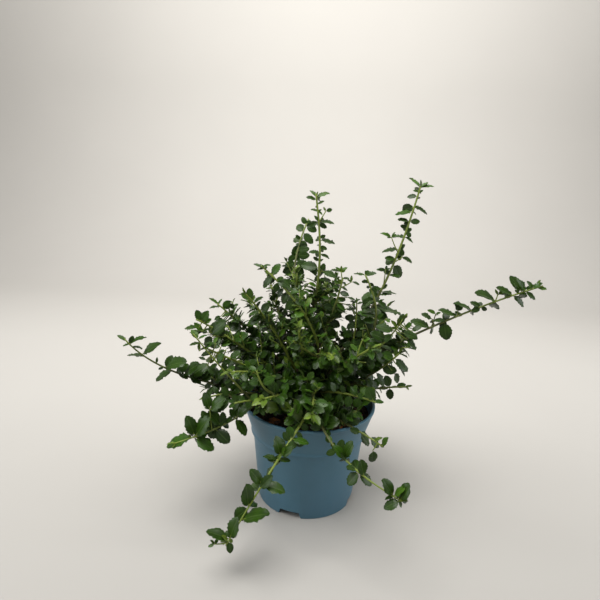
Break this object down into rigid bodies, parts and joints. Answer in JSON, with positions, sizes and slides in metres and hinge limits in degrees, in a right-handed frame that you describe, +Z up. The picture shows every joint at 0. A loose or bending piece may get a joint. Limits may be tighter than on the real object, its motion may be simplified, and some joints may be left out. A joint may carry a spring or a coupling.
{
  "type": "potted creeping blueblossom",
  "caption": "Low evergreen shrub, out of bloom, with upright, creeping and trailing leafy shoots on a short trunk, in a round tapered nursery pot with a collar.",
  "frame": {"origin": "centre of the pot's flat underside, which stands on a level surface", "axes": "+Z up; +X to the viewer's right and +Y away from the viewer, as in the picture; the front of the plant faces -Y"},
  "size_m": [0.4804, 0.3258, 0.4136],
  "materials": {
    "pot": "semi-matt moulded",
    "soil": "crumbly, damp",
    "bark": "smooth young bark",
    "leaves": "glossy leaf"
  },
  "bodies": {
    "root": {"pot": "pot", "soil": "soil", "trunk": "bark", "bough_upright_middle": "bark", "leaves_upright_middle": "leaves", "bough_upright_right": "bark", "leaves_upright_right": "leaves", "bough_long_right": "bark", "leaves_long_right": "leaves", "bough_upper_left": "bark", "leaves_upper_left": "leaves", "bough_upright_back": "bark", "leaves_upright_back": "leaves", "bough_long_left": "bark", "leaves_long_left": "leaves", "bough_left_high": "bark", "leaves_left_high": "leaves", "bough_left_rise": "bark", "leaves_left_rise": "leaves", "leaves_left_arch": "leaves", "bough_top_bush": "bark", "leaves_top_bush": "leaves", "bough_top_middle": "bark", "leaves_top_middle": "leaves", "bough_right_twin": "bark", "leaves_right_twin": "leaves", "bough_right_bright": "bark", "leaves_right_bright": "leaves", "leaves_right_low": "leaves", "leaves_right_side": "leaves", "bough_right_back": "bark", "leaves_right_back": "leaves", "bough_spill_left": "bark", "leaves_spill_left": "leaves", "leaves_low_left": "leaves", "bough_trail_left": "bark", "leaves_trail_left": "leaves", "bough_trail_right": "bark", "leaves_trail_right": "leaves", "leaves_spill_front": "leaves", "leaves_front_left": "leaves", "leaves_front_middle": "leaves", "leaves_front_right": "leaves", "leaves_front_low": "leaves", "leaves_front_low_right": "leaves", "leaves_left_middle": "leaves", "leaves_front_edge": "leaves", "leaves_front_rim": "leaves", "leaves_front_top": "leaves", "leaves_back_high": "leaves", "leaves_back_right_low": "leaves", "leaves_left_back": "leaves", "leaves_back_left": "leaves", "bough_back_middle": "bark", "leaves_back_middle": "leaves", "leaves_back_right": "leaves", "leaves_back_top": "leaves", "leaves_back_low_left": "leaves", "leaves_back_low": "leaves", "leaves_back_low_right": "leaves"}
  },
  "joints": []
}
